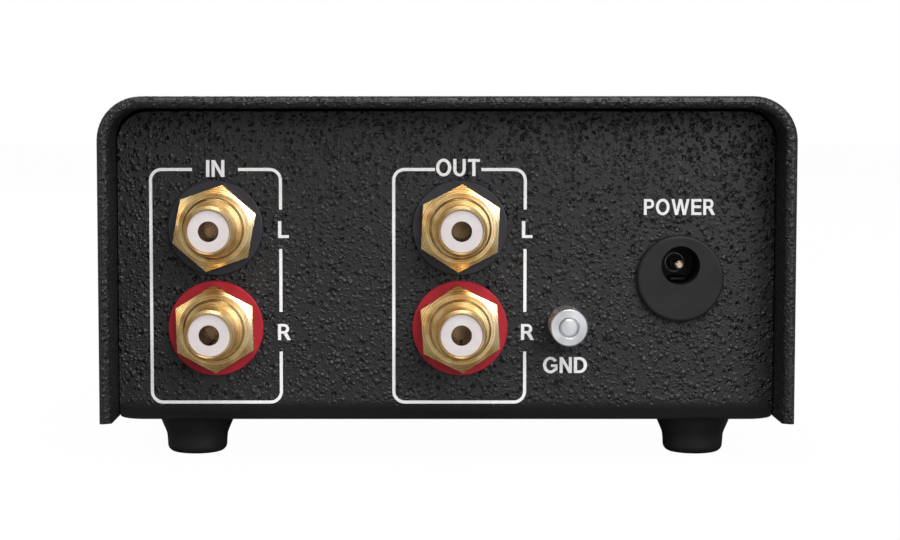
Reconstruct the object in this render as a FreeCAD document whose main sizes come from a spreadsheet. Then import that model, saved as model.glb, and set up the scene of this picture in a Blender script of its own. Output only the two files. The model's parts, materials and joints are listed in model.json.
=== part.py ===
import FreeCAD, Part
import math
import os
from types import SimpleNamespace

import Sketcher
from FreeCAD import Placement, Rotation, Vector

# A small phono preamp: a folded steel tray under a U-shaped cover, with its sockets on the rear panel.
# The rear panel looks along -Y, so +X is to the right of somebody who looks at the sockets. The feet
# stand on Z = 0, and the origin is under the middle of the box that holds everything.

doc = FreeCAD.newDocument("phono_preamp")

# Driving dimensions, in millimetres and degrees
dimensions = {
    # cover
    "box_width": 114.0,
    "box_depth": 90.0,
    "box_height": 54.5,
    "cover_lift": 0.9,
    "cover_wall": 2.0,
    "cover_corner": 7.2,
    "cover_rim": 0.8,
    "cover_inner_rim": 0.55,
    "cover_gap": 0.2,
    # tray
    "tray_wall": 1.5,
    "tray_bend": 3.4,
    "tray_side_bend": 2.8,
    "tray_relief": 1.2,
    "fold_end_length": 5.0,
    "fold_end_rise": 0.9,
    "tray_flange": 16.0,
    "rear_recess": 9.5,
    "front_recess": 2.0,
    "rear_top_gap": 0.48,
    # screws that hold the cover
    "cover_screw": 3.0,
    "cover_screw_head": 5.4,
    "cover_screw_head_height": 1.6,
    "cover_screw_length": 7.0,
    "cover_screw_play": 0.4,
    "cover_screw_height": 9.0,
    "cover_screw_spacing": 56.0,
    # feet
    "foot_height": 6.7,
    "foot_top": 13.2,
    "foot_waist": 10.5,
    "foot_waist_height": 3.2,
    "foot_base": 10.1,
    "foot_round": 1.3,
    "foot_recess": 6.0,
    "foot_recess_depth": 3.9,
    "foot_lip": 0.3,
    "foot_side_inset": 14.0,
    "foot_rear_inset": 12.0,
    "foot_front_inset": 13.0,
    "foot_screw": 3.0,
    "foot_screw_head": 5.4,
    "foot_screw_head_height": 2.0,
    "foot_nut": 5.5,
    "foot_nut_height": 2.4,
    "foot_screw_end": 1.0,
    "floor_screw_play": 0.3,
    "thread_bevel": 0.3,
    # phono sockets
    "socket_in_inset": 18.5,
    "socket_out_x": 2.3,
    "socket_left_drop": 21.8,
    "socket_right_drop": 38.6,
    "socket_reach": 13.5,
    "socket_barrel": 8.3,
    "socket_lip": 0.45,
    "socket_wall": 0.65,
    "socket_boss": 10.2,
    "socket_boss_height": 1.5,
    "socket_hex": 12.7,
    "socket_hex_height": 2.8,
    "socket_hex_chamfer": 0.5,
    "socket_thread": 6.35,
    "socket_tail": 9.0,
    "socket_hole": 3.35,
    "socket_contact_wall": 0.35,
    "socket_slot": 0.4,
    "socket_pin": 1.8,
    "socket_pin_tail": 4.0,
    "socket_core": 4.4,
    "socket_shoulder": 1.2,
    "contact_floor": 1.0,
    "contact_slot_start": 1.0,
    "insulator_depth": 0.35,
    "insulator_flange": 1.2,
    "insulator_skin": 0.4,
    "edge_break": 0.15,
    "washer_width": 15.9,
    "washer_height": 1.0,
    "washer_edge": 0.2,
    "bush_width": 12.0,
    "bush_height": 0.9,
    "bush_sleeve": 8.2,
    "lug_thickness": 0.5,
    "lug_width": 11.0,
    "lug_tab": 3.0,
    "lug_tab_length": 10.5,
    "socket_nut": 9.5,
    "socket_nut_height": 2.2,
    "fit_gap": 0.05,
    # ground terminal
    "ground_inset": 36.97,
    "ground_drop": 37.83,
    "ground_stud": 3.0,
    "ground_stud_chamfer": 0.28,
    "ground_stud_tail": 9.5,
    "ground_washer": 6.0,
    "ground_washer_height": 0.5,
    "thumb_nut": 6.1,
    "thumb_nut_height": 8.0,
    "thumb_nut_mouth": 0.2,
    "thumb_nut_bevel": 0.25,
    "knurl_depth": 0.14,
    "ground_reach": 0.1,
    "ground_lug": 6.6,
    "ground_nut": 5.5,
    "ground_nut_height": 2.4,
    # power inlet
    "power_inset": 17.95,
    "power_drop": 30.3,
    "power_face": 14.5,
    "power_face_height": 1.4,
    "power_face_round": 0.5,
    "power_mouth": 6.5,
    "power_mouth_rise": 2.2,
    "power_mouth_depth": 9.0,
    "power_shank": 12.4,
    "power_body_depth": 14.0,
    "power_nut": 16.0,
    "power_nut_height": 2.5,
    "power_pin": 2.0,
    "power_pin_length": 7.6,
    "power_pin_tail": 4.0,
    "power_leaf_width": 2.4,
    "power_leaf_wall": 0.3,
    "power_leaf_inset": 0.9,
    "power_leaf_tail": 4.0,
    # circuit board
    "board_side_gap": 5.3,
    "board_rear_gap": 15.0,
    "board_front_gap": 6.5,
    "board_wall": 1.6,
    "board_corner": 2.0,
    "board_hole_inset": 4.0,
    "board_screw_play": 0.2,
    "screw_foot_gap": 1.7,
    "standoff_height": 6.0,
    "standoff_width": 5.0,
    "board_screw": 3.0,
    "board_screw_head": 5.4,
    "board_screw_head_height": 1.8,
    "board_screw_length": 4.2,
    # parts on the board
    "can_width": 12.5,
    "can_height": 25.0,
    "can_bead": 0.7,
    "can_gap": 1.5,
    "can_side_inset": 10.4,
    "can_rear_inset": 39.0,
    "chip_width": 6.4,
    "chip_length": 9.6,
    "chip_height": 3.3,
    "chip_seat": 1.2,
    "chip_leg_wall": 0.4,
    "chip_can_gap": 32.15,
    "chip_rear_inset": 22.7,
    "chip_spacing_x": 24.0,
    "chip_spacing_y": 12.0,
    "film_width": 5.0,
    "film_length": 10.5,
    "film_height": 9.5,
    "film_gap": 2.0,
    "film_can_gap": 30.35,
    "film_rear_inset": 41.0,
    "regulator_width": 10.0,
    "regulator_height": 15.5,
    "regulator_tab": 1.3,
    "regulator_block": 3.2,
    "regulator_block_height": 8.5,
    "regulator_leg": 3.5,
    "regulator_leg_wall": 0.6,
    "regulator_rear_inset": 24.3,
    "header_width": 5.8,
    "header_height": 4.2,
    "header_wall": 0.5,
    "header_inset": 13.0,
    "wire_width": 1.6,
    "wire_pitch": 2.5,
    "wire_rise": 8.0,
    "wire_straight": 6.0,
    "return_wire_straight": 14.0,
    # power light on the front panel
    "light_drop": 30.0,
    "light_width": 3.0,
    "light_length": 6.0,
    "light_flange": 3.8,
    "light_holder": 6.2,
    "light_holder_height": 1.3,
    "light_holder_length": 7.0,
    "light_holder_step": 0.4,
}

sheet = doc.addObject("Spreadsheet::Sheet", "dims")
for row, (name, number) in enumerate(dimensions.items(), 1):
    sheet.set("A%d" % row, name)
    sheet.set("B%d" % row, str(number))
    sheet.setAlias("B%d" % row, name)
doc.recompute()


class Size:
    # A number that keeps the sheet formula it came from, so each feature stays bound to the sheet
    def __init__(self, number, formula):
        self.number = number
        self.formula = formula

    def __add__(self, other):
        other = size_of(other)
        return Size(self.number + other.number, "(%s + %s)" % (self.formula, other.formula))

    def __sub__(self, other):
        other = size_of(other)
        return Size(self.number - other.number, "(%s - %s)" % (self.formula, other.formula))

    def __mul__(self, other):
        other = size_of(other)
        return Size(self.number * other.number, "(%s * %s)" % (self.formula, other.formula))

    def __truediv__(self, other):
        other = size_of(other)
        return Size(self.number / other.number, "(%s / %s)" % (self.formula, other.formula))

    def __neg__(self):
        return Size(-self.number, "(0 - %s)" % self.formula)


def size_of(value):
    return value if isinstance(value, Size) else Size(float(value), "%.9f" % value)


zero = size_of(0)
d = SimpleNamespace(**{name: Size(float(number), "dims." + name) for name, number in dimensions.items()})

# Places worked out from the driving dimensions
tray_bottom = d.foot_height
floor_top = tray_bottom + d.tray_wall
cover_top = tray_bottom + d.box_height
cover_bottom = tray_bottom + d.cover_lift
rear_edge = -(d.box_depth - (d.socket_reach - d.rear_recess)) / 2
front_edge = rear_edge + d.box_depth
rear_face = rear_edge + d.rear_recess
rear_inside = rear_face + d.tray_wall
front_face = front_edge - d.front_recess
front_inside = front_face - d.tray_wall
tray_half = d.box_width / 2 - d.cover_wall - d.cover_gap
cover_under = cover_top - d.cover_wall
rear_top = cover_under - d.rear_top_gap
panel_corner = d.cover_corner - d.cover_wall
foot_x = d.box_width / 2 - d.foot_side_inset
foot_rows = (rear_face + d.foot_rear_inset, front_face - d.foot_front_inset)
socket_columns = {"in": -d.box_width / 2 + d.socket_in_inset, "out": d.socket_out_x}
ground_x = d.box_width / 2 - d.ground_inset
power_x = d.box_width / 2 - d.power_inset
socket_drops = {"left": d.socket_left_drop, "right": d.socket_right_drop}
board_half = tray_half - d.tray_wall - d.board_side_gap
board_rear = rear_inside + d.board_rear_gap
board_front = front_inside - d.board_front_gap
board_hole_x = foot_x - d.foot_top / 2 - d.screw_foot_gap - d.board_screw_head / 2
board_hole_rows = (board_rear + d.board_hole_inset, board_front - d.board_hole_inset)
board_bottom = floor_top + d.standoff_height
board_top = board_bottom + d.board_wall
box_middle = (rear_face + front_face) / 2
light_shank = d.light_holder - d.light_holder_step * 2

# Turns of each socket's hexagon, clockwise from the rear, as the nuts happen to be tightened
socket_turns = {"in_left": 10.9, "in_right": -1.6, "out_left": 2.7, "out_right": -4.0}

to_rear = Rotation(Vector(1, 0, 0), 90)
to_front = Rotation(Vector(1, 0, 0), -90)
upright = Rotation()


def bind(thing, path, value):
    thing.setExpression(path, size_of(value).formula)


def origin_part(body, role):
    return [part for part in body.Origin.OriginFeatures if part.Role == role][0]


def new_body(label, at=(zero, zero, zero), turn=upright):
    body = doc.addObject("PartDesign::Body", label)
    body.Label = label
    body.AllowCompound = True
    body.Placement = Placement(Vector(*[size_of(place).number for place in at]), turn)
    for axis, place in zip("xyz", at):
        bind(body, "Placement.Base." + axis, place)
    return body


def new_sketch(body, plane, name, offset=zero):
    sketch = body.newObject("Sketcher::SketchObject", name)
    sketch.AttachmentSupport = (origin_part(body, plane), [""])
    sketch.MapMode = "FlatFace"
    sketch.AttachmentOffset = Placement(Vector(0, 0, size_of(offset).number), Rotation())
    bind(sketch, "AttachmentOffset.Base.z", offset)
    return sketch


def hold_point(sketch, geometry, end, x, y):
    for kind, place in (("DistanceX", x), ("DistanceY", y)):
        place = size_of(place)
        held = sketch.addConstraint(Sketcher.Constraint(kind, -1, 1, geometry, end, place.number))
        if "dims." in place.formula:
            sketch.setExpression("Constraints[%d]" % held, place.formula)


def outline(sketch, points):
    # A closed outline of straight sides through the points
    first = sketch.GeometryCount
    count = len(points)
    corners = [Vector(size_of(x).number, size_of(y).number, 0) for x, y in points]
    for number in range(count):
        side = Part.LineSegment(corners[number], corners[(number + 1) % count])
        sketch.addGeometry(side, False)
    for number in range(count):
        following = first + (number + 1) % count
        sketch.addConstraint(Sketcher.Constraint("Coincident", first + number, 2, following, 1))
    for number, (x, y) in enumerate(points):
        hold_point(sketch, first + number, 1, x, y)


def rectangle(sketch, x_low, x_high, y_low, y_high):
    outline(sketch, [(x_low, y_low), (x_high, y_low), (x_high, y_high), (x_low, y_high)])


def circle(sketch, x, y, width):
    x, y, width = size_of(x), size_of(y), size_of(width)
    ring = Part.Circle(Vector(x.number, y.number, 0), Vector(0, 0, 1), width.number / 2)
    number = sketch.addGeometry(ring, False)
    held = sketch.addConstraint(Sketcher.Constraint("Diameter", number, width.number))
    bind(sketch, "Constraints[%d]" % held, width)
    hold_point(sketch, number, 3, x, y)


def hexagon(sketch, flats, x=zero, y=zero, turn=0.0):
    # turn is in degrees, and a turn of 0 puts a corner at the top
    radius = flats / 2 / math.cos(math.radians(30))
    angles = [math.radians(90 + turn + 60 * side) for side in range(6)]
    outline(sketch, [(x + radius * math.cos(a), y + radius * math.sin(a)) for a in angles])


def feature(body, kind, name, sketch, length, reverse=False, both=False):
    made = body.newObject(kind, name)
    made.Profile = sketch
    bind(made, "Length", length)
    made.Reversed = reverse
    if both:
        made.SideType = "Symmetric"
    sketch.Visibility = False
    return made


def pad(body, name, sketch, length, reverse=False, both=False):
    return feature(body, "PartDesign::Pad", name, sketch, length, reverse, both)


def pocket(body, name, sketch, length, reverse=False, both=False):
    doc.recompute()
    before = body.Shape.Volume
    made = feature(body, "PartDesign::Pocket", name, sketch, length, reverse, both)
    doc.recompute()
    if body.Shape.Volume > before - 1e-4:
        raise ValueError("%s in %s cuts nothing" % (name, body.Label))
    return made


def turned(body, name, points, kind="PartDesign::Revolution"):
    # points are radius and height, turned about the body's own Z axis
    sketch = new_sketch(body, "XZ_Plane", name + "_profile")
    outline(sketch, points)
    made = body.newObject(kind, name)
    made.Profile = sketch
    made.ReferenceAxis = (sketch, ["V_Axis"])
    made.Angle = 360
    return made


def edges_where(body, test):
    doc.recompute()
    names = []
    for number, edge in enumerate(body.Shape.Edges, 1):
        middle = edge.valueAt((edge.FirstParameter + edge.LastParameter) / 2)
        if test(edge, body.Placement.inverse().multVec(middle)):
            names.append("Edge%d" % number)
    return names


def ease(body, name, radius, test, kind="PartDesign::Fillet"):
    # Rounds or bevels the edges whose middle points pass the test
    names = edges_where(body, test)
    if not names:
        raise ValueError("%s in %s finds no edges" % (name, body.Label))
    tip = body.Tip
    made = body.newObject(kind, name)
    made.Base = (tip, names)
    bind(made, "Radius" if kind.endswith("Fillet") else "Size", radius)
    return made


def close(value, size):
    return abs(value - size_of(size).number) < 0.01


def along(edge, axis):
    if edge.Curve.TypeId != "Part::GeomLine":
        return False
    return abs(abs(edge.Curve.Direction.dot(axis)) - 1) < 1e-6


def is_round(edge, width):
    return edge.Curve.TypeId == "Part::GeomCircle" and close(edge.Curve.Radius * 2, width)


def grid(body, name, source, x_spacing, y_spacing):
    # Repeats a feature, or a list of them, at the four corners of a rectangle, from its low corner
    pattern = body.newObject("PartDesign::MultiTransform", name)
    steps = []
    for axis, spacing in (("X_Axis", x_spacing), ("Y_Axis", y_spacing)):
        step = doc.addObject("PartDesign::LinearPattern", name + "_" + axis[0])
        body.addObject(step)
        step.Direction = (origin_part(body, axis), [""])
        step.Occurrences = 2
        bind(step, "Length", spacing)
        steps.append(step)
    pattern.Originals = source if isinstance(source, list) else [source]
    pattern.Transformations = steps
    body.Tip = pattern
    return pattern


def make_cover():
    body = new_body("cover")
    half = d.box_width / 2
    inner = half - d.cover_wall
    sketch = new_sketch(body, "XZ_Plane", "cover_section", -front_edge)
    outline(sketch, [
        (-half, cover_bottom), (-half, cover_top), (half, cover_top), (half, cover_bottom),
        (inner, cover_bottom), (inner, cover_under), (-inner, cover_under), (-inner, cover_bottom)])
    pad(body, "cover_sheet", sketch, d.box_depth)
    depthways = Vector(0, 1, 0)
    ease(body, "cover_outer_bends", d.cover_corner, lambda edge, middle: along(edge, depthways)
         and close(abs(middle.x), half) and close(middle.z, cover_top))
    ease(body, "cover_inner_bends", panel_corner, lambda edge, middle: along(edge, depthways)
         and close(abs(middle.x), inner) and close(middle.z, cover_under))
    holes = new_sketch(body, "YZ_Plane", "cover_screw_holes")
    for side in (-0.5, 0.5):
        circle(holes, box_middle + d.cover_screw_spacing * side, tray_bottom + d.cover_screw_height,
               d.cover_screw + d.cover_screw_play)
    pocket(body, "cover_screw_clearance", holes, d.box_width + 2, both=True)

    def on_rim(edge, middle):
        outside = close(abs(middle.x), half) or close(middle.z, cover_top)
        outside = outside or math.hypot(abs(middle.x) - (half - d.cover_corner).number,
                                        middle.z - (cover_top - d.cover_corner).number) \
            > d.cover_corner.number - 0.01 and middle.z > (cover_top - d.cover_corner).number
        return outside and (close(middle.y, rear_edge) or close(middle.y, front_edge))

    def on_inner_rim(edge, middle):
        ends = close(middle.y, rear_edge) or close(middle.y, front_edge)
        return ends and not on_rim(edge, middle) and middle.z > cover_bottom.number + 1

    ease(body, "cover_inner_rim_rounding", d.cover_inner_rim, on_inner_rim)
    ease(body, "cover_rim_rounding", d.cover_rim, on_rim)
    return body


def fold_end_outline(sketch, side):
    # What is cut off one end of a panel's fold, so that its lower edge curves up to the side
    start = tray_half - d.fold_end_length
    points = [(start * side, tray_bottom - 1)]
    for step in range(7):
        angle = math.radians(15 * step)
        points.append(((start + d.fold_end_length * math.sin(angle)) * side,
                       tray_bottom + d.fold_end_rise * (1 - math.cos(angle))))
    points += [((tray_half + 1) * side, tray_bottom + d.fold_end_rise), ((tray_half + 1) * side, tray_bottom - 1)]
    outline(sketch, points)


def make_tray():
    body = new_body("tray")
    sketch = new_sketch(body, "YZ_Plane", "tray_section")
    outline(sketch, [
        (rear_face, rear_top), (rear_face, tray_bottom), (front_face, tray_bottom),
        (front_face, cover_under), (front_inside, cover_under), (front_inside, floor_top),
        (rear_inside, floor_top), (rear_inside, rear_top)])
    pad(body, "tray_sheet", sketch, tray_half * 2, both=True)
    across = Vector(1, 0, 0)
    depthways = Vector(0, 1, 0)
    ease(body, "tray_outer_folds", d.tray_bend, lambda edge, middle: along(edge, across)
         and close(middle.z, tray_bottom))
    ease(body, "tray_inner_folds", d.tray_bend - d.tray_wall, lambda edge, middle: along(edge, across)
         and close(middle.z, floor_top))
    ease(body, "panel_corners", panel_corner, lambda edge, middle: along(edge, depthways)
         and (close(middle.z, rear_top) or close(middle.z, cover_under)))
    fold_reach = d.tray_bend + d.tray_relief
    for side, inward in ((-1, False), (1, True)):
        flange = new_sketch(body, "YZ_Plane", "flange_outline", tray_half * side)
        rectangle(flange, rear_face + fold_reach, front_face - fold_reach,
                  tray_bottom, tray_bottom + d.tray_flange)
        pad(body, "side_flange", flange, d.tray_wall, reverse=inward)
    relief = new_sketch(body, "XY_Plane", "relief_slots", tray_bottom)
    for side in (-1, 1):
        outer = tray_half * side + side * 1.0
        inner = (tray_half - d.tray_side_bend) * side
        for low, high in ((rear_face + d.tray_bend, rear_face + fold_reach),
                          (front_face - fold_reach, front_face - d.tray_bend)):
            rectangle(relief, outer, inner, low, high)
    pocket(body, "corner_reliefs", relief, d.tray_wall, reverse=True)
    ends = new_sketch(body, "XZ_Plane", "fold_end_curves", -rear_face)
    for side in (-1, 1):
        fold_end_outline(ends, side)
    pocket(body, "rear_fold_ends", ends, d.tray_bend)
    ends = new_sketch(body, "XZ_Plane", "front_fold_end_curves", -front_face)
    for side in (-1, 1):
        fold_end_outline(ends, side)
    pocket(body, "front_fold_ends", ends, d.tray_bend, reverse=True)
    ease(body, "side_folds_outside", d.tray_side_bend, lambda edge, middle: along(edge, depthways)
         and close(abs(middle.x), tray_half) and close(middle.z, tray_bottom)
         and edge.Length > d.box_depth.number / 2)
    ease(body, "side_folds_inside", d.tray_side_bend - d.tray_wall,
         lambda edge, middle: along(edge, depthways)
         and close(abs(middle.x), tray_half - d.tray_wall) and close(middle.z, floor_top))
    ease(body, "flange_corners", d.tray_side_bend, lambda edge, middle: along(edge, across)
         and close(middle.z, tray_bottom + d.tray_flange))

    tapped = new_sketch(body, "YZ_Plane", "cover_screw_tappings")
    for side in (-0.5, 0.5):
        circle(tapped, box_middle + d.cover_screw_spacing * side, tray_bottom + d.cover_screw_height,
               d.cover_screw)
    pocket(body, "cover_screw_holes", tapped, d.box_width, both=True)

    rear = new_sketch(body, "XZ_Plane", "rear_panel_holes", -rear_inside)
    for column in socket_columns.values():
        for drop in socket_drops.values():
            circle(rear, column, cover_top - drop, d.bush_sleeve + d.fit_gap * 2)
    circle(rear, ground_x, cover_top - d.ground_drop, d.ground_stud + d.fit_gap * 2)
    circle(rear, power_x, cover_top - d.power_drop, d.power_shank + d.fit_gap * 2)
    pocket(body, "rear_panel_openings", rear, d.tray_wall, reverse=True)

    front = new_sketch(body, "XZ_Plane", "front_panel_hole", -front_face)
    circle(front, zero, cover_top - d.light_drop, light_shank + d.fit_gap * 2)
    pocket(body, "light_hole", front, d.tray_wall, reverse=True)

    floor = new_sketch(body, "XY_Plane", "floor_holes", floor_top)
    for side in (-0.5, 0.5):
        for row in foot_rows:
            circle(floor, foot_x * 2 * side, row, d.foot_screw + d.floor_screw_play)
        for row in board_hole_rows:
            circle(floor, board_hole_x * 2 * side, row, d.board_screw + d.floor_screw_play)
    pocket(body, "floor_openings", floor, d.tray_wall)
    return body


def screw_profile(thread, head, head_height, length):
    # A pan head that sits on height 0, with its shank below it
    return [(zero, -length), (thread / 2 - d.thread_bevel, -length), (thread / 2, -length + d.thread_bevel),
            (thread / 2, zero), (head / 2, zero), (head / 2, head_height * 0.55),
            (head * 0.41, head_height * 0.9), (head / 4, head_height), (zero, head_height)]


def cross_recess(body, name, width, height):
    # The crossed slots of a driver recess, cut down from the top of a head
    for number, turn in enumerate((False, True)):
        slot = new_sketch(body, "XY_Plane", name, height)
        long, short = width / 2, width / 9
        if turn:
            long, short = short, long
        rectangle(slot, -long, long, -short, short)
        pocket(body, "recess_arm_%d" % number, slot, height * 0.55)


def make_cover_screws():
    # Two pairs of pan head screws, one pair through each side wall of the cover
    both = []
    for side, turn in ((-1, -90), (1, 90)):
        name = "cover_screws_left" if side < 0 else "cover_screws_right"
        place = (d.box_width / 2 * side, box_middle - d.cover_screw_spacing / 2,
                 tray_bottom + d.cover_screw_height)
        body = new_body(name, place, Rotation(Vector(0, 1, 0), turn))
        made = turned(body, "cover_screw", screw_profile(
            d.cover_screw, d.cover_screw_head, d.cover_screw_head_height, d.cover_screw_length))
        cross_recess(body, "cross_recess", d.cover_screw_head * 0.6, d.cover_screw_head_height)
        row = body.newObject("PartDesign::LinearPattern", "screw_row")
        row.Originals = [made] + [f for f in body.Group if f.Name.startswith("recess_arm")]
        row.Direction = (origin_part(body, "Y_Axis"), [""])
        row.Occurrences = 2
        bind(row, "Length", d.cover_screw_spacing)
        body.Tip = row
        both.append(body)
    return both


def make_foot(label, x, y):
    # A moulded rubber foot, wider at the top, with its screw's head sunk in its base
    body = new_body(label, (x, y, zero))
    hole = d.foot_screw / 2 + d.fit_gap
    shelf = d.foot_recess_depth
    turned(body, "foot_shape", [
        (d.foot_recess / 2, zero), (d.foot_base / 2, zero), (d.foot_waist / 2, d.foot_waist_height),
        (d.foot_top / 2, d.foot_height - d.foot_lip), (d.foot_top / 2, d.foot_height), (hole, d.foot_height),
        (hole, shelf), (d.foot_recess / 2, shelf)])
    ease(body, "foot_base_rounding", d.foot_round,
         lambda edge, middle: is_round(edge, d.foot_base) and close(middle.z, 0))
    ease(body, "foot_waist_rounding", d.foot_waist_height,
         lambda edge, middle: is_round(edge, d.foot_waist) and close(middle.z, d.foot_waist_height))
    return body


def make_foot_screws():
    # Upside-down screws with their heads in the feet, which pass the floor and end in nuts
    length = d.foot_height - d.foot_recess_depth + d.tray_wall + d.foot_nut_height + d.foot_screw_end
    place = (-foot_x, foot_rows[0], d.foot_recess_depth)
    body = new_body("foot_screws", place)
    head = d.foot_screw_head / 2
    thread = d.foot_screw / 2
    screw = turned(body, "foot_screw", [
        (zero, -d.foot_screw_head_height), (head / 2, -d.foot_screw_head_height),
        (head, -d.foot_screw_head_height * 0.5), (head, zero), (thread, zero),
        (thread, length - d.thread_bevel), (thread - d.thread_bevel, length), (zero, length)])
    grid(body, "foot_screw_grid", screw, foot_x * 2, foot_rows[1] - foot_rows[0])
    return body


def make_foot_nuts():
    body = new_body("foot_nuts", (-foot_x, foot_rows[0], floor_top))
    sketch = new_sketch(body, "XY_Plane", "nut_section")
    hexagon(sketch, d.foot_nut)
    circle(sketch, zero, zero, d.foot_screw)
    nut = pad(body, "foot_nut", sketch, d.foot_nut_height)
    grid(body, "foot_nut_grid", nut, foot_x * 2, foot_rows[1] - foot_rows[0])
    return body


def socket_places():
    for column, x in socket_columns.items():
        for side, drop in socket_drops.items():
            yield column + "_" + side, x, cover_top - drop


def make_socket(name, x, z):
    # Heights run outwards from the rear face of the panel
    place = (x, rear_face, z)
    washer_top = d.washer_height
    hex_top = washer_top + d.socket_hex_height
    boss_top = hex_top + d.socket_boss_height
    reach = d.socket_reach
    barrel = d.socket_barrel / 2
    mouth = barrel - d.socket_wall
    tail = -(d.tray_wall + d.socket_tail)
    core = d.socket_core / 2
    shoulder = washer_top + d.socket_shoulder

    washer = new_body("washer_" + name, place, to_rear)
    section = new_sketch(washer, "XY_Plane", "washer_section")
    circle(section, zero, zero, d.washer_width)
    circle(section, zero, zero, d.socket_thread + d.fit_gap * 2)
    pad(washer, "washer_disc", section, d.washer_height)
    ease(washer, "washer_edge", d.washer_edge, lambda edge, middle: is_round(edge, d.washer_width))

    shell = new_body("shell_" + name, place, to_rear)
    hexed = new_sketch(shell, "XY_Plane", "hexagon_section", washer_top)
    hexagon(hexed, d.socket_hex, turn=-socket_turns[name])
    pad(shell, "hexagon", hexed, d.socket_hex_height)
    corner = d.socket_hex / 2 / math.cos(math.radians(30))
    slope = corner - d.socket_hex / 2
    turned(shell, "hexagon_bevel", [
        (corner + 1, hex_top - slope * 0.58 - 0.58), (corner + 1, hex_top + 1),
        (d.socket_hex / 2 - d.socket_hex_chamfer, hex_top + 1),
        (d.socket_hex / 2 - d.socket_hex_chamfer, hex_top)], "PartDesign::Groove")
    turned(shell, "barrel", [
        (zero, tail), (d.socket_thread / 2 - d.thread_bevel, tail), (d.socket_thread / 2, tail + d.thread_bevel),
        (d.socket_thread / 2, washer_top), (d.socket_boss / 2, washer_top),
        (d.socket_boss / 2, boss_top - 0.35), (d.socket_boss / 2 - 0.35, boss_top),
        (barrel, boss_top), (barrel, reach - d.socket_lip), (barrel - d.socket_lip, reach),
        (zero, reach)])
    turned(shell, "shell_bore", [
        (zero, tail - 1), (core, tail - 1), (core, shoulder), (mouth, shoulder),
        (mouth, reach - d.edge_break), (mouth + d.edge_break, reach), (mouth + d.edge_break, reach + 1),
        (zero, reach + 1)],
        "PartDesign::Groove")

    insulator = new_body("insulator_" + name, place, to_rear)
    face = reach - d.insulator_depth
    hole = d.socket_hole / 2 + d.socket_contact_wall
    skin = face - d.insulator_skin
    stem_end = tail - d.insulator_flange
    turned(insulator, "insulator_shape", [
        (hole, washer_top), (hole, skin), (d.socket_hole / 2, skin), (d.socket_hole / 2, face),
        (mouth - d.edge_break, face), (mouth, face - d.edge_break), (mouth, shoulder), (core, shoulder),
        (core, tail), (core + d.insulator_skin, tail), (core + d.insulator_skin, stem_end),
        (d.socket_pin / 2, stem_end), (d.socket_pin / 2, washer_top)])

    contact = new_body("contact_" + name, place, to_rear)
    sleeve = d.socket_hole / 2
    floor = washer_top + d.contact_floor
    turned(contact, "contact_shape", [
        (zero, stem_end - d.socket_pin_tail), (d.socket_pin / 2, stem_end - d.socket_pin_tail),
        (d.socket_pin / 2, washer_top), (hole, washer_top), (hole, skin),
        (sleeve, skin), (sleeve, floor), (zero, floor)])
    slot = new_sketch(contact, "XZ_Plane", "slot_section")
    rectangle(slot, -d.socket_slot / 2, d.socket_slot / 2, floor + d.contact_slot_start, face)
    pocket(contact, "contact_slot", slot, d.socket_hole * 2, both=True)
    return [washer, shell, insulator, contact]


def make_socket_group(label, build):
    # One body for a small part that all four sockets have, repeated by column and by row
    place = (socket_columns["in"], rear_face, cover_top - d.socket_right_drop)
    body = new_body(label, place, to_rear)
    grid(body, label + "_grid", build(body), socket_columns["out"] - socket_columns["in"],
         d.socket_right_drop - d.socket_left_drop)
    return body


def build_bush(body):
    # A shouldered bush that keeps the socket clear of the panel
    inner = d.socket_thread / 2 + d.fit_gap
    return turned(body, "bush_shape", [
        (inner, zero), (inner, -(d.tray_wall + d.bush_height)),
        (d.bush_width / 2, -(d.tray_wall + d.bush_height)), (d.bush_width / 2, -d.tray_wall),
        (d.bush_sleeve / 2, -d.tray_wall), (d.bush_sleeve / 2, zero)])


def lug_level():
    return -(d.tray_wall + d.bush_height + d.lug_thickness)


def build_lug(body):
    section = new_sketch(body, "XY_Plane", "lug_section", lug_level())
    circle(section, zero, zero, d.lug_width)
    circle(section, zero, zero, d.socket_thread + d.fit_gap * 2)
    ring = pad(body, "lug_ring", section, d.lug_thickness)
    strip = new_sketch(body, "XY_Plane", "lug_tab_section", lug_level())
    rectangle(strip, -d.lug_tab_length, d.lug_width / -2 + 0.6, d.lug_tab / -2, d.lug_tab / 2)
    return [ring, pad(body, "lug_tab", strip, d.lug_thickness)]


def build_socket_nut(body):
    section = new_sketch(body, "XY_Plane", "nut_section", lug_level() - d.socket_nut_height)
    hexagon(section, d.socket_nut)
    circle(section, zero, zero, d.socket_thread)
    return pad(body, "socket_nut", section, d.socket_nut_height)


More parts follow.
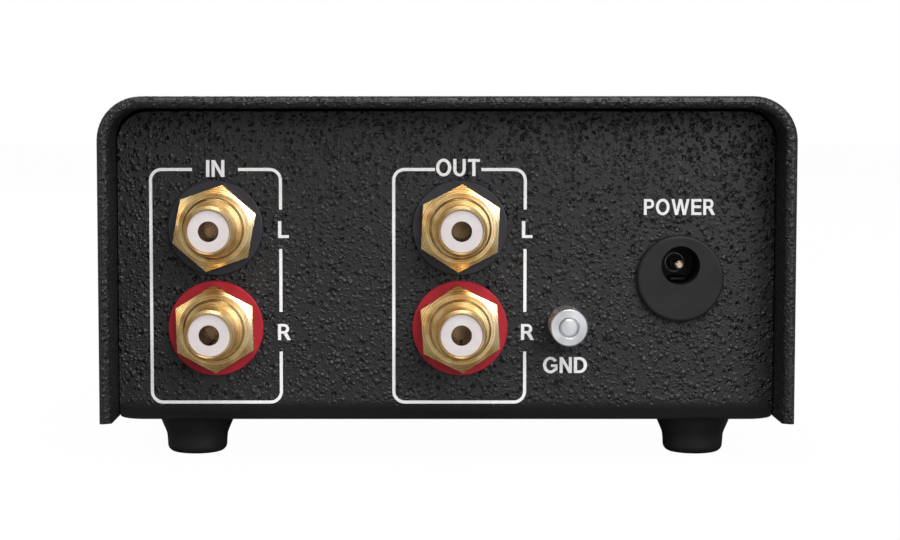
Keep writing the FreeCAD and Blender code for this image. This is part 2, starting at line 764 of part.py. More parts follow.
def make_ground_terminal():
    place = (ground_x, rear_face, cover_top - d.ground_drop)
    washer_top = d.ground_washer_height
    nut_top = washer_top + d.thumb_nut_height
    stud_end = nut_top + d.ground_reach
    stud = d.ground_stud / 2
    tail = -(d.tray_wall + d.ground_stud_tail)

    post = new_body("ground_stud", place, to_rear)
    turned(post, "stud_shape", [
        (zero, tail), (stud - d.thread_bevel, tail), (stud, tail + d.thread_bevel),
        (stud, stud_end - d.ground_stud_chamfer),
        (stud - d.ground_stud_chamfer, stud_end), (zero, stud_end)])

    washer = new_body("ground_washer", place, to_rear)
    section = new_sketch(washer, "XY_Plane", "washer_section")
    circle(section, zero, zero, d.ground_washer)
    circle(section, zero, zero, d.ground_stud + d.fit_gap * 2)
    pad(washer, "washer_disc", section, d.ground_washer_height)

    nut = new_body("thumb_nut", place, to_rear)
    outer = d.thumb_nut / 2
    inner = stud + d.fit_gap
    mouth = d.thumb_nut_mouth
    bevel = d.thumb_nut_bevel
    turned(nut, "nut_shape", [
        (inner, washer_top), (outer - bevel, washer_top), (outer, washer_top + bevel),
        (outer, nut_top - bevel), (outer - bevel, nut_top), (inner + mouth, nut_top),
        (inner, nut_top - mouth)])
    groove = new_sketch(nut, "XY_Plane", "knurl_section", washer_top)
    half = d.knurl_depth * 1.5
    outline(groove, [(outer - d.knurl_depth, zero), (outer + 0.1, -half), (outer + 0.1, half)])
    cut = pocket(nut, "knurl_groove", groove, d.thumb_nut_height, reverse=True)
    ring = nut.newObject("PartDesign::PolarPattern", "knurl")
    ring.Originals = [cut]
    ring.Axis = (origin_part(nut, "Z_Axis"), [""])
    ring.Angle = 360
    ring.Occurrences = 30
    nut.Tip = ring

    lug = new_body("ground_lug", place, to_rear)
    base = -(d.tray_wall + d.lug_thickness)
    section = new_sketch(lug, "XY_Plane", "lug_section", base)
    circle(section, zero, zero, d.ground_lug)
    circle(section, zero, zero, d.ground_stud + d.fit_gap * 2)
    pad(lug, "lug_ring", section, d.lug_thickness)

    inside = new_body("ground_nut", place, to_rear)
    section = new_sketch(inside, "XY_Plane", "nut_section", base - d.ground_nut_height)
    hexagon(section, d.ground_nut)
    circle(section, zero, zero, d.ground_stud)
    pad(inside, "nut_hexagon", section, d.ground_nut_height)
    return [post, washer, nut, lug, inside]


def make_power_inlet():
    place = (power_x, rear_face, cover_top - d.power_drop)
    rise = d.power_mouth_rise
    back = -(d.tray_wall + d.power_body_depth)
    floor = d.power_face_height - d.power_mouth_depth

    housing = new_body("power_socket", place, to_rear)
    turned(housing, "socket_shape", [
        (zero, back), (d.power_shank / 2, back), (d.power_shank / 2, zero),
        (d.power_face / 2, zero), (d.power_face / 2, d.power_face_height), (zero, d.power_face_height)])
    mouth = new_sketch(housing, "XY_Plane", "mouth_section", d.power_face_height)
    circle(mouth, zero, rise, d.power_mouth)
    pocket(housing, "mouth", mouth, d.power_mouth_depth)
    pin_hole = new_sketch(housing, "XY_Plane", "pin_hole_section", floor)
    circle(pin_hole, zero, rise, d.power_pin)
    leaf_drop = d.power_mouth / 2 - d.power_leaf_inset
    rectangle(pin_hole, -d.power_leaf_width / 2, d.power_leaf_width / 2,
              rise - leaf_drop - d.power_leaf_wall, rise - leaf_drop)
    pocket(housing, "terminal_holes", pin_hole, d.power_body_depth + d.tray_wall + floor + 1)
    ease(housing, "face_rounding", d.power_face_round, lambda edge, middle:
         is_round(edge, d.power_face) and close(middle.z, d.power_face_height))

    nut = new_body("power_socket_nut", place, to_rear)
    section = new_sketch(nut, "XY_Plane", "nut_section", -(d.tray_wall + d.power_nut_height))
    hexagon(section, d.power_nut)
    circle(section, zero, zero, d.power_shank)
    pad(nut, "nut_hexagon", section, d.power_nut_height)

    pin = new_body("power_pin", (power_x, rear_face, cover_top - d.power_drop + rise), to_rear)
    radius = d.power_pin / 2
    tip = floor + d.power_pin_length
    turned(pin, "pin_shape", [
        (zero, back - d.power_pin_tail), (radius, back - d.power_pin_tail), (radius, tip - 0.7),
        (radius * 0.8, tip - 0.25), (radius * 0.45, tip), (zero, tip)])

    leaf = new_body("power_spring", (power_x, rear_face, cover_top - d.power_drop + rise), to_rear)
    shape = new_sketch(leaf, "YZ_Plane", "spring_outline")
    wall = d.power_leaf_wall
    end = back - d.power_leaf_tail
    outline(shape, [
        (-leaf_drop - wall, end), (-leaf_drop, end), (-leaf_drop, floor + 2), (-leaf_drop + 0.55, floor + 4),
        (-leaf_drop + 0.1, floor + 5.6), (-leaf_drop + 0.1 - wall, floor + 5.5),
        (-leaf_drop + 0.5 - wall, floor + 4), (-leaf_drop - wall, floor + 2.1)])
    pad(leaf, "spring_strip", shape, d.power_leaf_width, both=True)
    return [housing, nut, pin, leaf]


def make_board():
    bodies = []
    hole_x = board_hole_x
    hole_rows = board_hole_rows

    board = new_body("main_board")
    sketch = new_sketch(board, "XY_Plane", "board_outline", board_bottom)
    rectangle(sketch, -board_half, board_half, board_rear, board_front)
    for side in (-1, 1):
        for row in hole_rows:
            circle(sketch, hole_x * side, row, d.board_screw + d.board_screw_play)
    pad(board, "board_sheet", sketch, d.board_wall)
    ease(board, "board_corners", d.board_corner, lambda edge, middle: along(edge, Vector(0, 0, 1))
         and close(abs(middle.x), board_half))
    bodies.append(board)

    standoffs = new_body("board_standoffs", (-hole_x, hole_rows[0], floor_top))
    sketch = new_sketch(standoffs, "XY_Plane", "standoff_section")
    hexagon(sketch, d.standoff_width)
    circle(sketch, zero, zero, d.board_screw)
    one = pad(standoffs, "standoff", sketch, d.standoff_height)
    grid(standoffs, "standoff_grid", one, hole_x * 2, hole_rows[1] - hole_rows[0])
    bodies.append(standoffs)

    profile = screw_profile(d.board_screw, d.board_screw_head, d.board_screw_head_height,
                            d.board_screw_length)
    screws = new_body("board_screws", (-hole_x, hole_rows[0], board_top))
    one = turned(screws, "board_screw", profile)
    grid(screws, "board_screw_grid", one, hole_x * 2, hole_rows[1] - hole_rows[0])
    bodies.append(screws)

    under = new_body("floor_screws", (-hole_x, hole_rows[0], tray_bottom))
    one = turned(under, "floor_screw", [(radius, -height) for radius, height in profile])
    grid(under, "floor_screw_grid", one, hole_x * 2, hole_rows[1] - hole_rows[0])
    bodies.append(under)

    can_pitch = d.can_width + d.can_gap
    first_can = board_half - d.can_side_inset - can_pitch * 2
    beside_cans = first_can - d.can_width / 2
    cans = new_body("supply_capacitors", (first_can, board_rear + d.can_rear_inset, board_top))
    radius = d.can_width / 2
    neck = radius - d.can_bead
    can = turned(cans, "capacitor_can", [
        (zero, zero), (radius, zero), (radius, d.can_bead * 3), (neck, d.can_bead * 4),
        (neck, d.can_bead * 5), (radius, d.can_bead * 6), (radius, d.can_height - d.can_bead),
        (neck, d.can_height), (zero, d.can_height)])
    row = cans.newObject("PartDesign::LinearPattern", "can_row")
    row.Originals = [can]
    row.Direction = (origin_part(cans, "X_Axis"), [""])
    row.Occurrences = 3
    bind(row, "Length", can_pitch * 2)
    cans.Tip = row
    bodies.append(cans)

    chips = new_body("amplifier_chips", (beside_cans - d.chip_can_gap, board_rear + d.chip_rear_inset, board_top))
    sketch = new_sketch(chips, "XZ_Plane", "chip_end")
    half = d.chip_width / 2
    seat = d.chip_seat
    top = seat + d.chip_height
    leg_in, leg_out = half + d.chip_leg_wall, half + d.chip_leg_wall * 2
    leg_under, leg_top = seat + d.chip_height * 0.35, seat + d.chip_height * 0.5
    slope = half - d.chip_leg_wall
    outline(sketch, [
        (-leg_out, zero), (-leg_in, zero), (-leg_in, leg_under), (-half, leg_under), (-half, seat),
        (half, seat), (half, leg_under), (leg_in, leg_under), (leg_in, zero), (leg_out, zero),
        (leg_out, leg_top), (half, leg_top), (slope, top), (-slope, top), (-half, leg_top),
        (-leg_out, leg_top)])
    one = pad(chips, "chip", sketch, d.chip_length, both=True)
    grid(chips, "chip_grid", one, d.chip_spacing_x, d.chip_spacing_y)
    bodies.append(chips)

    films = new_body("film_capacitors", (beside_cans - d.film_can_gap, board_rear + d.film_rear_inset, board_top))
    sketch = new_sketch(films, "XY_Plane", "film_outline")
    rectangle(sketch, zero, d.film_width, zero, d.film_length)
    film = pad(films, "film_block", sketch, d.film_height)
    row = films.newObject("PartDesign::LinearPattern", "film_row")
    row.Originals = [film]
    row.Direction = (origin_part(films, "X_Axis"), [""])
    row.Occurrences = 4
    bind(row, "Length", (d.film_width + d.film_gap) * 3)
    films.Tip = row
    bodies.append(films)

    regulator = new_body("voltage_regulator", (power_x, board_rear + d.regulator_rear_inset, board_top))
    sketch = new_sketch(regulator, "YZ_Plane", "regulator_side")
    leg = d.regulator_leg
    leg_front = d.regulator_tab + d.regulator_leg_wall
    block_top = leg + d.regulator_block_height
    outline(sketch, [
        (d.regulator_tab, zero), (leg_front, zero), (leg_front, leg), (d.regulator_block, leg),
        (d.regulator_block, block_top), (d.regulator_tab, block_top),
        (d.regulator_tab, d.regulator_height + leg), (zero, d.regulator_height + leg), (zero, leg),
        (d.regulator_tab, leg)])
    pad(regulator, "regulator_shape", sketch, d.regulator_width, both=True)
    bodies.append(regulator)
    return bodies


def header_place(x):
    return x, board_rear + d.header_inset, board_top


def header_entry(x, way, ways):
    # Where one of a header's wires goes into its top
    place = header_place(x)
    return place[0] + d.wire_pitch * (way - (ways - 1) / 2), place[1], place[2] + d.header_height


def make_header(label, x, ways):
    # A wire connector on the board, with its wires going in at the top
    body = new_body(label, header_place(x))
    sketch = new_sketch(body, "XY_Plane", "header_outline")
    half_x = d.wire_pitch * ways / 2 + d.header_wall
    rectangle(sketch, -half_x, half_x, -d.header_width / 2, d.header_width / 2)
    pad(body, "header_block", sketch, d.header_height)
    return body


def rounded_path(points):
    # Straight runs joined by tangent arcs, each as large as its two runs allow
    edges = []
    radii = []
    start = points[0]
    for before, corner, after in zip(points, points[1:], points[2:]):
        incoming = (corner - before).normalize()
        outgoing = (after - corner).normalize()
        turn = incoming.getAngle(outgoing)
        shorter = min((corner - before).Length, (after - corner).Length)
        setback = 0.45 * shorter
        radius = setback / math.tan(turn / 2)
        radii.append(radius)
        first = corner - incoming * setback
        last = corner + outgoing * setback
        towards = (outgoing - incoming).normalize()
        middle = corner + towards * (radius / math.cos(turn / 2) - radius)
        edges.append(Part.LineSegment(start, first).toShape())
        edges.append(Part.Arc(first, middle, last).toShape())
        start = last
    edges.append(Part.LineSegment(start, points[-1]).toShape())
    return Part.Wire(edges), radii


def make_wires(label, routes):
    # Insulated hook-up wires as round tubes along their routes
    tubes = []
    for route in routes:
        points = [Vector(*[size_of(place).number for place in point]) for point in route]
        path, radii = rounded_path(points)
        circle_edge = Part.Circle(points[0], points[1] - points[0], d.wire_width.number / 2).toShape()
        tube = path.makePipeShell([Part.Wire([circle_edge])], True, False)
        section = math.pi * d.wire_width.number ** 2 / 4
        print("%s length %.1f, least radius %.1f, volume over section times length %.4f"
              % (label, path.Length, min(radii), tube.Volume / (section * path.Length)))
        tubes.append(tube)
    wires = doc.addObject("Part::Feature", label)
    wires.Label = label
    wires.Shape = Part.makeCompound(tubes)
    wires.Placement = Placement()
    return wires


def wire_route(start, entry, straight):
    # Straight back from the part it is soldered to, then in a bend over its header and down into its top
    x, y, z = start
    return [start, (x, y + straight, z), (entry[0], entry[1], entry[2] + d.wire_rise), entry]


def make_socket_wires(label, column):
    # A signal wire from each contact and a return wire from each lug, left channel on the outside
    x = socket_columns[column]
    contact_end = rear_inside + d.socket_tail + d.insulator_flange + d.socket_pin_tail
    lug_face = rear_face - lug_level()
    tab = x - d.lug_tab_length + d.lug_tab / 2
    routes = []
    for drop, ways in ((d.socket_left_drop, (0, 3)), (d.socket_right_drop, (1, 2))):
        z = cover_top - drop
        routes.append(wire_route((tab, lug_face, z), header_entry(x, ways[0], 4), d.return_wire_straight))
        routes.append(wire_route((x, contact_end, z), header_entry(x, ways[1], 4), d.wire_straight))
    return make_wires(label, routes)


def make_power_wires():
    height = cover_top - d.power_drop + d.power_mouth_rise
    end = rear_inside + d.power_body_depth + d.power_leaf_tail
    leaf_height = height - (d.power_mouth / 2 - d.power_leaf_inset) - d.power_leaf_wall / 2
    return make_wires("power_wires", [
        wire_route((power_x, end, leaf_height), header_entry(power_x, 0, 2), d.wire_straight),
        wire_route((power_x, end, height), header_entry(power_x, 1, 2), d.wire_straight)])


def make_light():
    place = (zero, front_face, cover_top - d.light_drop)
    holder = new_body("light_holder", place, to_front)
    ring = d.light_holder / 2
    shank = light_shank / 2
    bore = d.light_width / 2 + d.fit_gap
    seat = d.light_flange / 2 + d.fit_gap
    end = -d.light_holder_length
    turned(holder, "holder_shape", [
        (bore, d.light_holder_height), (shank, d.light_holder_height), (ring, d.light_holder_step),
        (ring, zero), (shank, zero), (shank, end), (seat, end),
        (seat, -d.light_length * 0.5), (bore, -d.light_length * 0.5)])
    light = new_body("power_light", place, to_front)
    radius = d.light_width / 2
    dome = d.light_holder_height
    turned(light, "light_shape", [
        (zero, -d.light_length * 0.5 - 1), (d.light_flange / 2, -d.light_length * 0.5 - 1),
        (d.light_flange / 2, -d.light_length * 0.5), (radius, -d.light_length * 0.5),
        (radius, dome - 0.7), (radius * 0.8, dome - 0.2), (radius * 0.4, dome), (zero, dome)])
    return [holder, light]


made = [make_cover(), make_tray()]
made += make_cover_screws()
for end, row in (("rear", foot_rows[0]), ("front", foot_rows[1])):
    for side, x in (("left", -foot_x), ("right", foot_x)):
        made.append(make_foot("foot_%s_%s" % (end, side), x, row))
made += [make_foot_screws(), make_foot_nuts()]
for name, x, z in socket_places():
    made += make_socket(name, x, z)
for label, build in (("socket_bushes", build_bush), ("socket_lugs", build_lug), ("socket_nuts", build_socket_nut)):
    made.append(make_socket_group(label, build))
made += make_ground_terminal()
made += make_power_inlet()
made += make_board()
for label, x, ways in (("input_header", socket_columns["in"], 4), ("output_header", d.socket_out_x, 4),
                       ("power_header", power_x, 2)):
    made.append(make_header(label, x, ways))
made.append(make_socket_wires("input_wires", "in"))
made.append(make_socket_wires("output_wires", "out"))
made.append(make_power_wires())
made += make_light()

doc.recompute()
faults = [thing.Name for thing in doc.Objects if "Invalid" in thing.State or "Error" in thing.State]
for part in made:
    if part.Shape.isNull() or not part.Shape.isValid() or not part.Shape.Solids:
        faults.append("shape of " + part.Label)
if faults:
    raise ValueError("these failed: " + ", ".join(faults))

os.makedirs("parts", exist_ok=True)
for part in made:
    part.Shape.exportStep("parts/%s.step" % part.Label)
print("%d parts" % len(made))
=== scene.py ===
import json
import math

import bmesh
import bpy
from mathutils import Matrix, Vector


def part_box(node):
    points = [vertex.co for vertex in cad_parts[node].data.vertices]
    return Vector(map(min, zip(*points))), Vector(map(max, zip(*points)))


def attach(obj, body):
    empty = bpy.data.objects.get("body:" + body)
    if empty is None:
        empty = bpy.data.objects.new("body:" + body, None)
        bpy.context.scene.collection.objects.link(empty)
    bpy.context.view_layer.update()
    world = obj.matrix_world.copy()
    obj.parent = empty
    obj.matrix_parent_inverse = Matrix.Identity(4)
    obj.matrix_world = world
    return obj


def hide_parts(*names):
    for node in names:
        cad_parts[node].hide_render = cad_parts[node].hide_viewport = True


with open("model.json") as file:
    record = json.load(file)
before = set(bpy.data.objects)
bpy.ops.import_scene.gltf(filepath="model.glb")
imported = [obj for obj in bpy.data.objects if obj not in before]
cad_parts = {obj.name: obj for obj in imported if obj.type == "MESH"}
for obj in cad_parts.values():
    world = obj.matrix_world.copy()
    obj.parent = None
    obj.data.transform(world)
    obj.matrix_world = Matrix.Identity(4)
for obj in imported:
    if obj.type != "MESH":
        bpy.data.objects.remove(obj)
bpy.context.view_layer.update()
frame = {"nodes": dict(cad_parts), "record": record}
nodes = frame["nodes"]
mm = 0.001
tiny = 0.001 * mm              # points nearer than this count as one
noiseSpan = (0.3, 0.7)         # where nearly all values of a noise texture lie
print("frame loaded")


# places that several pieces share, read from the solids
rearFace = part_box("washer_in_left")[1].y
coverLow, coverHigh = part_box("cover")
toRear = Matrix.Rotation(math.radians(90), 4, "X")    # turns Z out of the rear panel
sockets = [column + "_" + side for column in ("in", "out") for side in ("left", "right")]


def centreOf(node):
    low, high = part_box(node)
    return (low + high) / 2


# shader helpers

def newMaterial(name):
    material = bpy.data.materials.new(name)
    material.use_nodes = True
    tree = material.node_tree
    shader = next(node for node in tree.nodes if node.type == "BSDF_PRINCIPLED")
    return material, tree, shader


def addNode(tree, kind, **settings):
    node = tree.nodes.new(kind)
    for key, value in settings.items():
        setattr(node, key, value)
    return node


def objectPoint(tree, location=(0, 0, 0)):
    # a place on the piece, measured from the location
    coordinates = addNode(tree, "ShaderNodeTexCoord")
    mapping = addNode(tree, "ShaderNodeMapping", vector_type="TEXTURE")
    mapping.inputs["Location"].default_value = location
    tree.links.new(coordinates.outputs["Object"], mapping.inputs["Vector"])
    return mapping.outputs["Vector"]


def ramp(tree, source, stops):
    node = addNode(tree, "ShaderNodeValToRGB")
    elements = node.color_ramp.elements
    for number, (place, colour) in enumerate(stops):
        stop = elements[number] if number < 2 else elements.new(place)
        stop.position = place
        stop.color = (*colour, 1)
    tree.links.new(source, node.inputs["Fac"])
    return node.outputs["Color"]


def rangeOf(tree, source, fromLow, fromHigh, toLow, toHigh, interpolation="LINEAR"):
    node = addNode(tree, "ShaderNodeMapRange", interpolation_type=interpolation)
    for key, value in (("From Min", fromLow), ("From Max", fromHigh), ("To Min", toLow), ("To Max", toHigh)):
        node.inputs[key].default_value = value
    tree.links.new(source, node.inputs["Value"])
    return node.outputs["Result"]


def spreadOf(tree, source, low=0.0, high=1.0):
    # a noise texture's values, spread over a whole range
    return rangeOf(tree, source, *noiseSpan, low, high)


def calculate(tree, operation, first, second):
    node = addNode(tree, "ShaderNodeMath", operation=operation)
    for socket, value in zip(node.inputs, (first, second)):
        if isinstance(value, (int, float)):
            socket.default_value = value
        else:
            tree.links.new(value, socket)
    return node.outputs["Value"]


# places of the mix nodes' sockets, whose names repeat
floatFirst, floatSecond, floatResult = 2, 3, 0
colourFirst, colourSecond, colourResult = 6, 7, 2
shaderFirst, shaderSecond = 1, 2


def mixColour(tree, factor, first, second):
    node = addNode(tree, "ShaderNodeMix", data_type="RGBA")
    for place, value in (("Factor", factor), (colourFirst, first), (colourSecond, second)):
        socket = node.inputs[place]
        if isinstance(value, tuple):
            socket.default_value = (*value, 1)
        elif isinstance(value, (int, float)):
            socket.default_value = value
        else:
            tree.links.new(value, socket)
    return node.outputs[colourResult]


def bumped(tree, shader, height, distance):
    bump = addNode(tree, "ShaderNodeBump")
    bump.inputs["Strength"].default_value = 1.0
    bump.inputs["Distance"].default_value = distance
    tree.links.new(height, bump.inputs["Height"])
    tree.links.new(bump.outputs["Normal"], shader.inputs["Normal"])


def makeGrainGroup():
    # fine moulded or plated grain: a soft patchy mask for colour and a height for the surface
    group = bpy.data.node_groups.new("surface grain", "ShaderNodeTree")
    for label, kind in (("Vector", "NodeSocketVector"), ("Grain Scale", "NodeSocketFloat"),
                        ("Patch Scale", "NodeSocketFloat")):
        group.interface.new_socket(label, in_out="INPUT", socket_type=kind)
    for label in ("Patches", "Height"):
        group.interface.new_socket(label, in_out="OUTPUT", socket_type="NodeSocketFloat")
    start = group.nodes.new("NodeGroupInput")
    end = group.nodes.new("NodeGroupOutput")
    for label, scale, detail in (("Height", "Grain Scale", 3.0), ("Patches", "Patch Scale", 2.0)):
        texture = group.nodes.new("ShaderNodeTexNoise")
        texture.inputs["Detail"].default_value = detail
        group.links.new(start.outputs["Vector"], texture.inputs["Vector"])
        group.links.new(start.outputs[scale], texture.inputs["Scale"])
        group.links.new(texture.outputs["Fac"], end.inputs[label])
    return group


grainGroup = makeGrainGroup()


def grain(tree, vector, grainScale, patchScale):
    node = addNode(tree, "ShaderNodeGroup", node_tree=grainGroup)
    node.inputs["Grain Scale"].default_value = grainScale
    node.inputs["Patch Scale"].default_value = patchScale
    tree.links.new(vector, node.inputs["Vector"])
    return node.outputs["Patches"], node.outputs["Height"]


def grainyMaterial(name, colours, roughness, metallic=0.0, grainScale=6000, patchScale=350,
                   depth=0.01, **inputs):
    # a surface whose colour wanders a little between two tones under a fine grain, its depth in millimetres
    material, tree, shader = newMaterial(name)
    patches, height = grain(tree, objectPoint(tree), grainScale, patchScale)
    tree.links.new(mixColour(tree, spreadOf(tree, patches), *colours), shader.inputs["Base Color"])
    tree.links.new(spreadOf(tree, patches, *roughness), shader.inputs["Roughness"])
    shader.inputs["Metallic"].default_value = metallic
    for key, value in inputs.items():
        shader.inputs[key.replace("_", " ")].default_value = value
    bumped(tree, shader, height, depth * mm)
    return material


coat = {
    # how many per metre, where each begins to fall and ends, and how much their sizes differ
    "bumps": (1050, 0.10, 0.66, 0.36),
    "beads": (1900, 0.10, 0.66, 0.50),
    "pits": (860, 0.12, 0.46, 0.30),
    "beadRise": 0.6,           # heights as shares of a bump's
    "pitFall": 1.2,
    "speckRise": 0.12,
    "specks": 5200,            # specks, patches and waves of the outlines per metre
    "patches": 70,
    "waves": 1700,
    "waveReach": 0.55 * mm,
    "depth": 0.25 * mm,
    "tones": [                 # painted shade at the bottom of a pit, rising to a painted highlight on the top of a bump
        (0.15, (0.001, 0.001, 0.0012)),
        (0.5, (0.0050, 0.0050, 0.0064)),
        (0.95, (0.013, 0.013, 0.0155)),
    ],
    "roughness": (0.41, 0.44),
    "specular": 0.42,
    # the smooth fold's colour: darker than the coat's ground, as painted shade under the tray
    "fold": (0.003, 0.003, 0.0031),
    "foldTop": 10.6 * mm,      # the fold under the rear panel is smooth below this height
    "foldFade": 1.2 * mm,
    "foldWander": 2.4 * mm,
    "foldRelief": 0.05,        # share of the relief that is left on it
}


def cellBumps(tree, vector, scale, nearEdge, farEdge, spread):
    # round bumps of many sizes, one in each cell: 1 at the middle and 0 outside
    cells = addNode(tree, "ShaderNodeTexVoronoi")
    cells.inputs["Scale"].default_value = scale
    tree.links.new(vector, cells.inputs["Vector"])
    split = addNode(tree, "ShaderNodeSeparateColor")
    tree.links.new(cells.outputs["Color"], split.inputs["Color"])
    shrink = calculate(tree, "MULTIPLY", split.outputs["Red"], spread)
    reach = calculate(tree, "ADD", cells.outputs["Distance"], shrink)
    return rangeOf(tree, reach, nearEdge, farEdge, 1.0, 0.0, "SMOOTHSTEP")


def makeCoat(name, smoothShadedFold):
    # thick textured powder coat: raised bumps and beads on a satin ground, with small pits between them; its
    # colour is darker in the pits as painted shade and lighter on the bump tops as painted highlight
    material, tree, shader = newMaterial(name)
    vector = objectPoint(tree)
    wander = addNode(tree, "ShaderNodeTexNoise")
    wander.inputs["Scale"].default_value = coat["waves"]
    wander.inputs["Detail"].default_value = 1.0
    tree.links.new(vector, wander.inputs["Vector"])
    shift = addNode(tree, "ShaderNodeVectorMath", operation="MULTIPLY_ADD")
    tree.links.new(wander.outputs["Color"], shift.inputs[0])
    shift.inputs[1].default_value = (coat["waveReach"],) * 3
    tree.links.new(vector, shift.inputs[2])
    ragged = shift.outputs["Vector"]
    bumps, beads, pits = (cellBumps(tree, ragged, *coat[kind]) for kind in ("bumps", "beads", "pits"))
    patches, speck = grain(tree, vector, coat["specks"], coat["patches"])
    raised = calculate(tree, "MAXIMUM", bumps, calculate(tree, "MULTIPLY", beads, coat["beadRise"]))
    relief = calculate(tree, "ADD", raised, calculate(tree, "MULTIPLY", pits, -coat["pitFall"]))
    height = calculate(tree, "ADD", relief, calculate(tree, "MULTIPLY", speck, coat["speckRise"]))
    # colour follows the relief: painted shade in the pits, painted highlight on the bump tops
    colour = ramp(tree, rangeOf(tree, relief, -coat["pitFall"], 1.0, 0, 1), coat["tones"])
    if smoothShadedFold:
        split = addNode(tree, "ShaderNodeSeparateXYZ")
        tree.links.new(vector, split.inputs["Vector"])
        level = calculate(tree, "SUBTRACT", split.outputs["Z"],
                          calculate(tree, "MULTIPLY", wander.outputs["Fac"], coat["foldWander"]))
        fadeEnd = coat["foldTop"] - coat["foldWander"] / 2
        rough = rangeOf(tree, level, fadeEnd - coat["foldFade"], fadeEnd, coat["foldRelief"], 1)
        # the fold takes its darker colour, painted shade under the tray, and keeps only a little relief
        colour = mixColour(tree, rough, coat["fold"], colour)
        height = calculate(tree, "MULTIPLY", height, rough)
    tree.links.new(colour, shader.inputs["Base Color"])
    tree.links.new(spreadOf(tree, patches, *coat["roughness"]), shader.inputs["Roughness"])
    shader.inputs["Specular IOR Level"].default_value = coat["specular"]
    bumped(tree, shader, height, coat["depth"])
    return material


turning = {
    "ringDetail": 3.0,
    "patches": 190,            # per metre
    "patchDetail": 2.5,
    "patchShare": 0.8,         # what the patches give to the tone, and the rings give the rest
    "toneStops": (0.36, 0.5, 0.64),
}


def makeTurningGroup():
    # rings left by turning about Y, which give the height, and slow patches of wear
    group = bpy.data.node_groups.new("turning marks", "ShaderNodeTree")
    for label, kind in (("Vector", "NodeSocketVector"), ("Ring Scale", "NodeSocketFloat")):
        group.interface.new_socket(label, in_out="INPUT", socket_type=kind)
    for label in ("Rings", "Patches"):
        group.interface.new_socket(label, in_out="OUTPUT", socket_type="NodeSocketFloat")
    start = group.nodes.new("NodeGroupInput")
    end = group.nodes.new("NodeGroupOutput")
    split = addNode(group, "ShaderNodeSeparateXYZ")
    group.links.new(start.outputs["Vector"], split.inputs["Vector"])
    across = addNode(group, "ShaderNodeCombineXYZ")
    group.links.new(split.outputs["X"], across.inputs["X"])
    group.links.new(split.outputs["Z"], across.inputs["Y"])
    reach = addNode(group, "ShaderNodeVectorMath", operation="LENGTH")
    group.links.new(across.outputs["Vector"], reach.inputs[0])
    rings = addNode(group, "ShaderNodeTexNoise", noise_dimensions="1D")
    rings.inputs["Detail"].default_value = turning["ringDetail"]
    group.links.new(reach.outputs["Value"], rings.inputs["W"])
    group.links.new(start.outputs["Ring Scale"], rings.inputs["Scale"])
    group.links.new(rings.outputs["Fac"], end.inputs["Rings"])
    patches = addNode(group, "ShaderNodeTexNoise")
    patches.inputs["Scale"].default_value = turning["patches"]
    patches.inputs["Detail"].default_value = turning["patchDetail"]
    group.links.new(start.outputs["Vector"], patches.inputs["Vector"])
    group.links.new(patches.outputs["Fac"], end.inputs["Patches"])
    return group


turningGroup = makeTurningGroup()


def turnedMaterial(name, centre, colours, roughness, ringScale, depth):
    # plated metal turned about an axis through the centre, its depth in millimetres
    material, tree, shader = newMaterial(name)
    marks = addNode(tree, "ShaderNodeGroup", node_tree=turningGroup)
    tree.links.new(objectPoint(tree, centre), marks.inputs["Vector"])
    marks.inputs["Ring Scale"].default_value = ringScale
    rings, patches = marks.outputs["Rings"], marks.outputs["Patches"]
    worn = calculate(tree, "ADD", calculate(tree, "MULTIPLY", patches, turning["patchShare"]),
                     calculate(tree, "MULTIPLY", rings, 1 - turning["patchShare"]))
    tree.links.new(ramp(tree, worn, zip(turning["toneStops"], colours)), shader.inputs["Base Color"])
    tree.links.new(spreadOf(tree, rings, *roughness), shader.inputs["Roughness"])
    shader.inputs["Metallic"].default_value = 1.0
    bumped(tree, shader, rings, depth * mm)
    return material


knurl = {
    "grain": 6000,                 # grains and patches per metre
    "patches": 900,
    "depth": 0.01 * mm,
    "points": ((0.90, 0.88, 0.86), (0.74, 0.68, 0.63)),
    # the grooves' brown: painted shade deep in the knurl
    "groove": (0.20, 0.14, 0.105),
    "grooveSpan": (0.35, 0.85),    # shares of the depth between which the colour turns to the painted shade of the grooves
    "roughness": (0.26, 0.46),     # on the points and in the grooves
}


def makeKnurl():
    # nickel on a knurl: bright points, with brown painted shade down in the grooves
    material, tree, shader = newMaterial("knurled nickel")
    depth = addNode(tree, "ShaderNodeAttribute", attribute_name="groove")
    patches, height = grain(tree, objectPoint(tree), knurl["grain"], knurl["patches"])
    deep = rangeOf(tree, depth.outputs["Fac"], *knurl["grooveSpan"], 0, 1)
    points = mixColour(tree, spreadOf(tree, patches), *knurl["points"])
    tree.links.new(mixColour(tree, deep, points, knurl["groove"]), shader.inputs["Base Color"])
    tree.links.new(rangeOf(tree, deep, 0, 1, *knurl["roughness"]), shader.inputs["Roughness"])
    shader.inputs["Metallic"].default_value = 1.0
    bumped(tree, shader, height, knurl["depth"])
    return material


